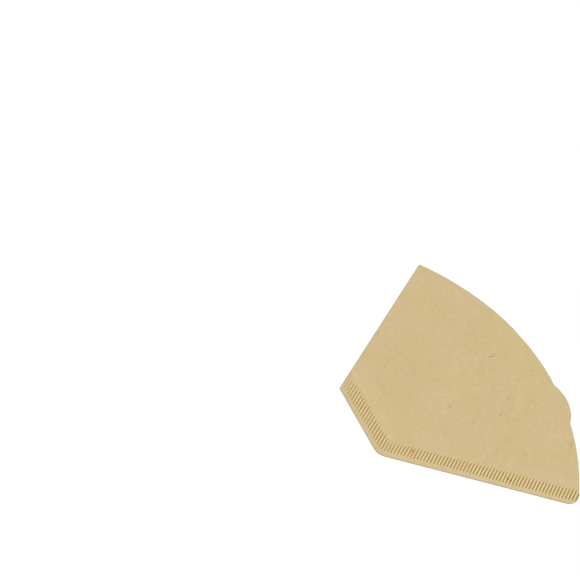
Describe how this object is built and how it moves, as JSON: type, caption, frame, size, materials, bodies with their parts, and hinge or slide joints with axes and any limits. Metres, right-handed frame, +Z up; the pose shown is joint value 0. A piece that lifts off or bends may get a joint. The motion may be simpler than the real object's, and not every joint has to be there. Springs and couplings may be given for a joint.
{
  "type": "paper coffee filter",
  "caption": "Flat wedge-shaped coffee filter of folded kraft paper, open along its wide curved edge with a thumb tab, and closed by a crimped seam along the bottom and one side.",
  "frame": {"origin": "middle of the filter's footprint, on the surface that it lies on", "axes": "+X across the filter from the folded edge towards the crimped side seam, +Y from the short bottom seam towards the open curved mouth, +Z up out of the flat filter"},
  "size_m": [0.1636, 0.0972, 0.0008],
  "materials": {
    "kraft_paper": "matt, unbleached"
  },
  "bodies": {
    "root": {"filter_paper": "kraft_paper"}
  },
  "joints": []
}
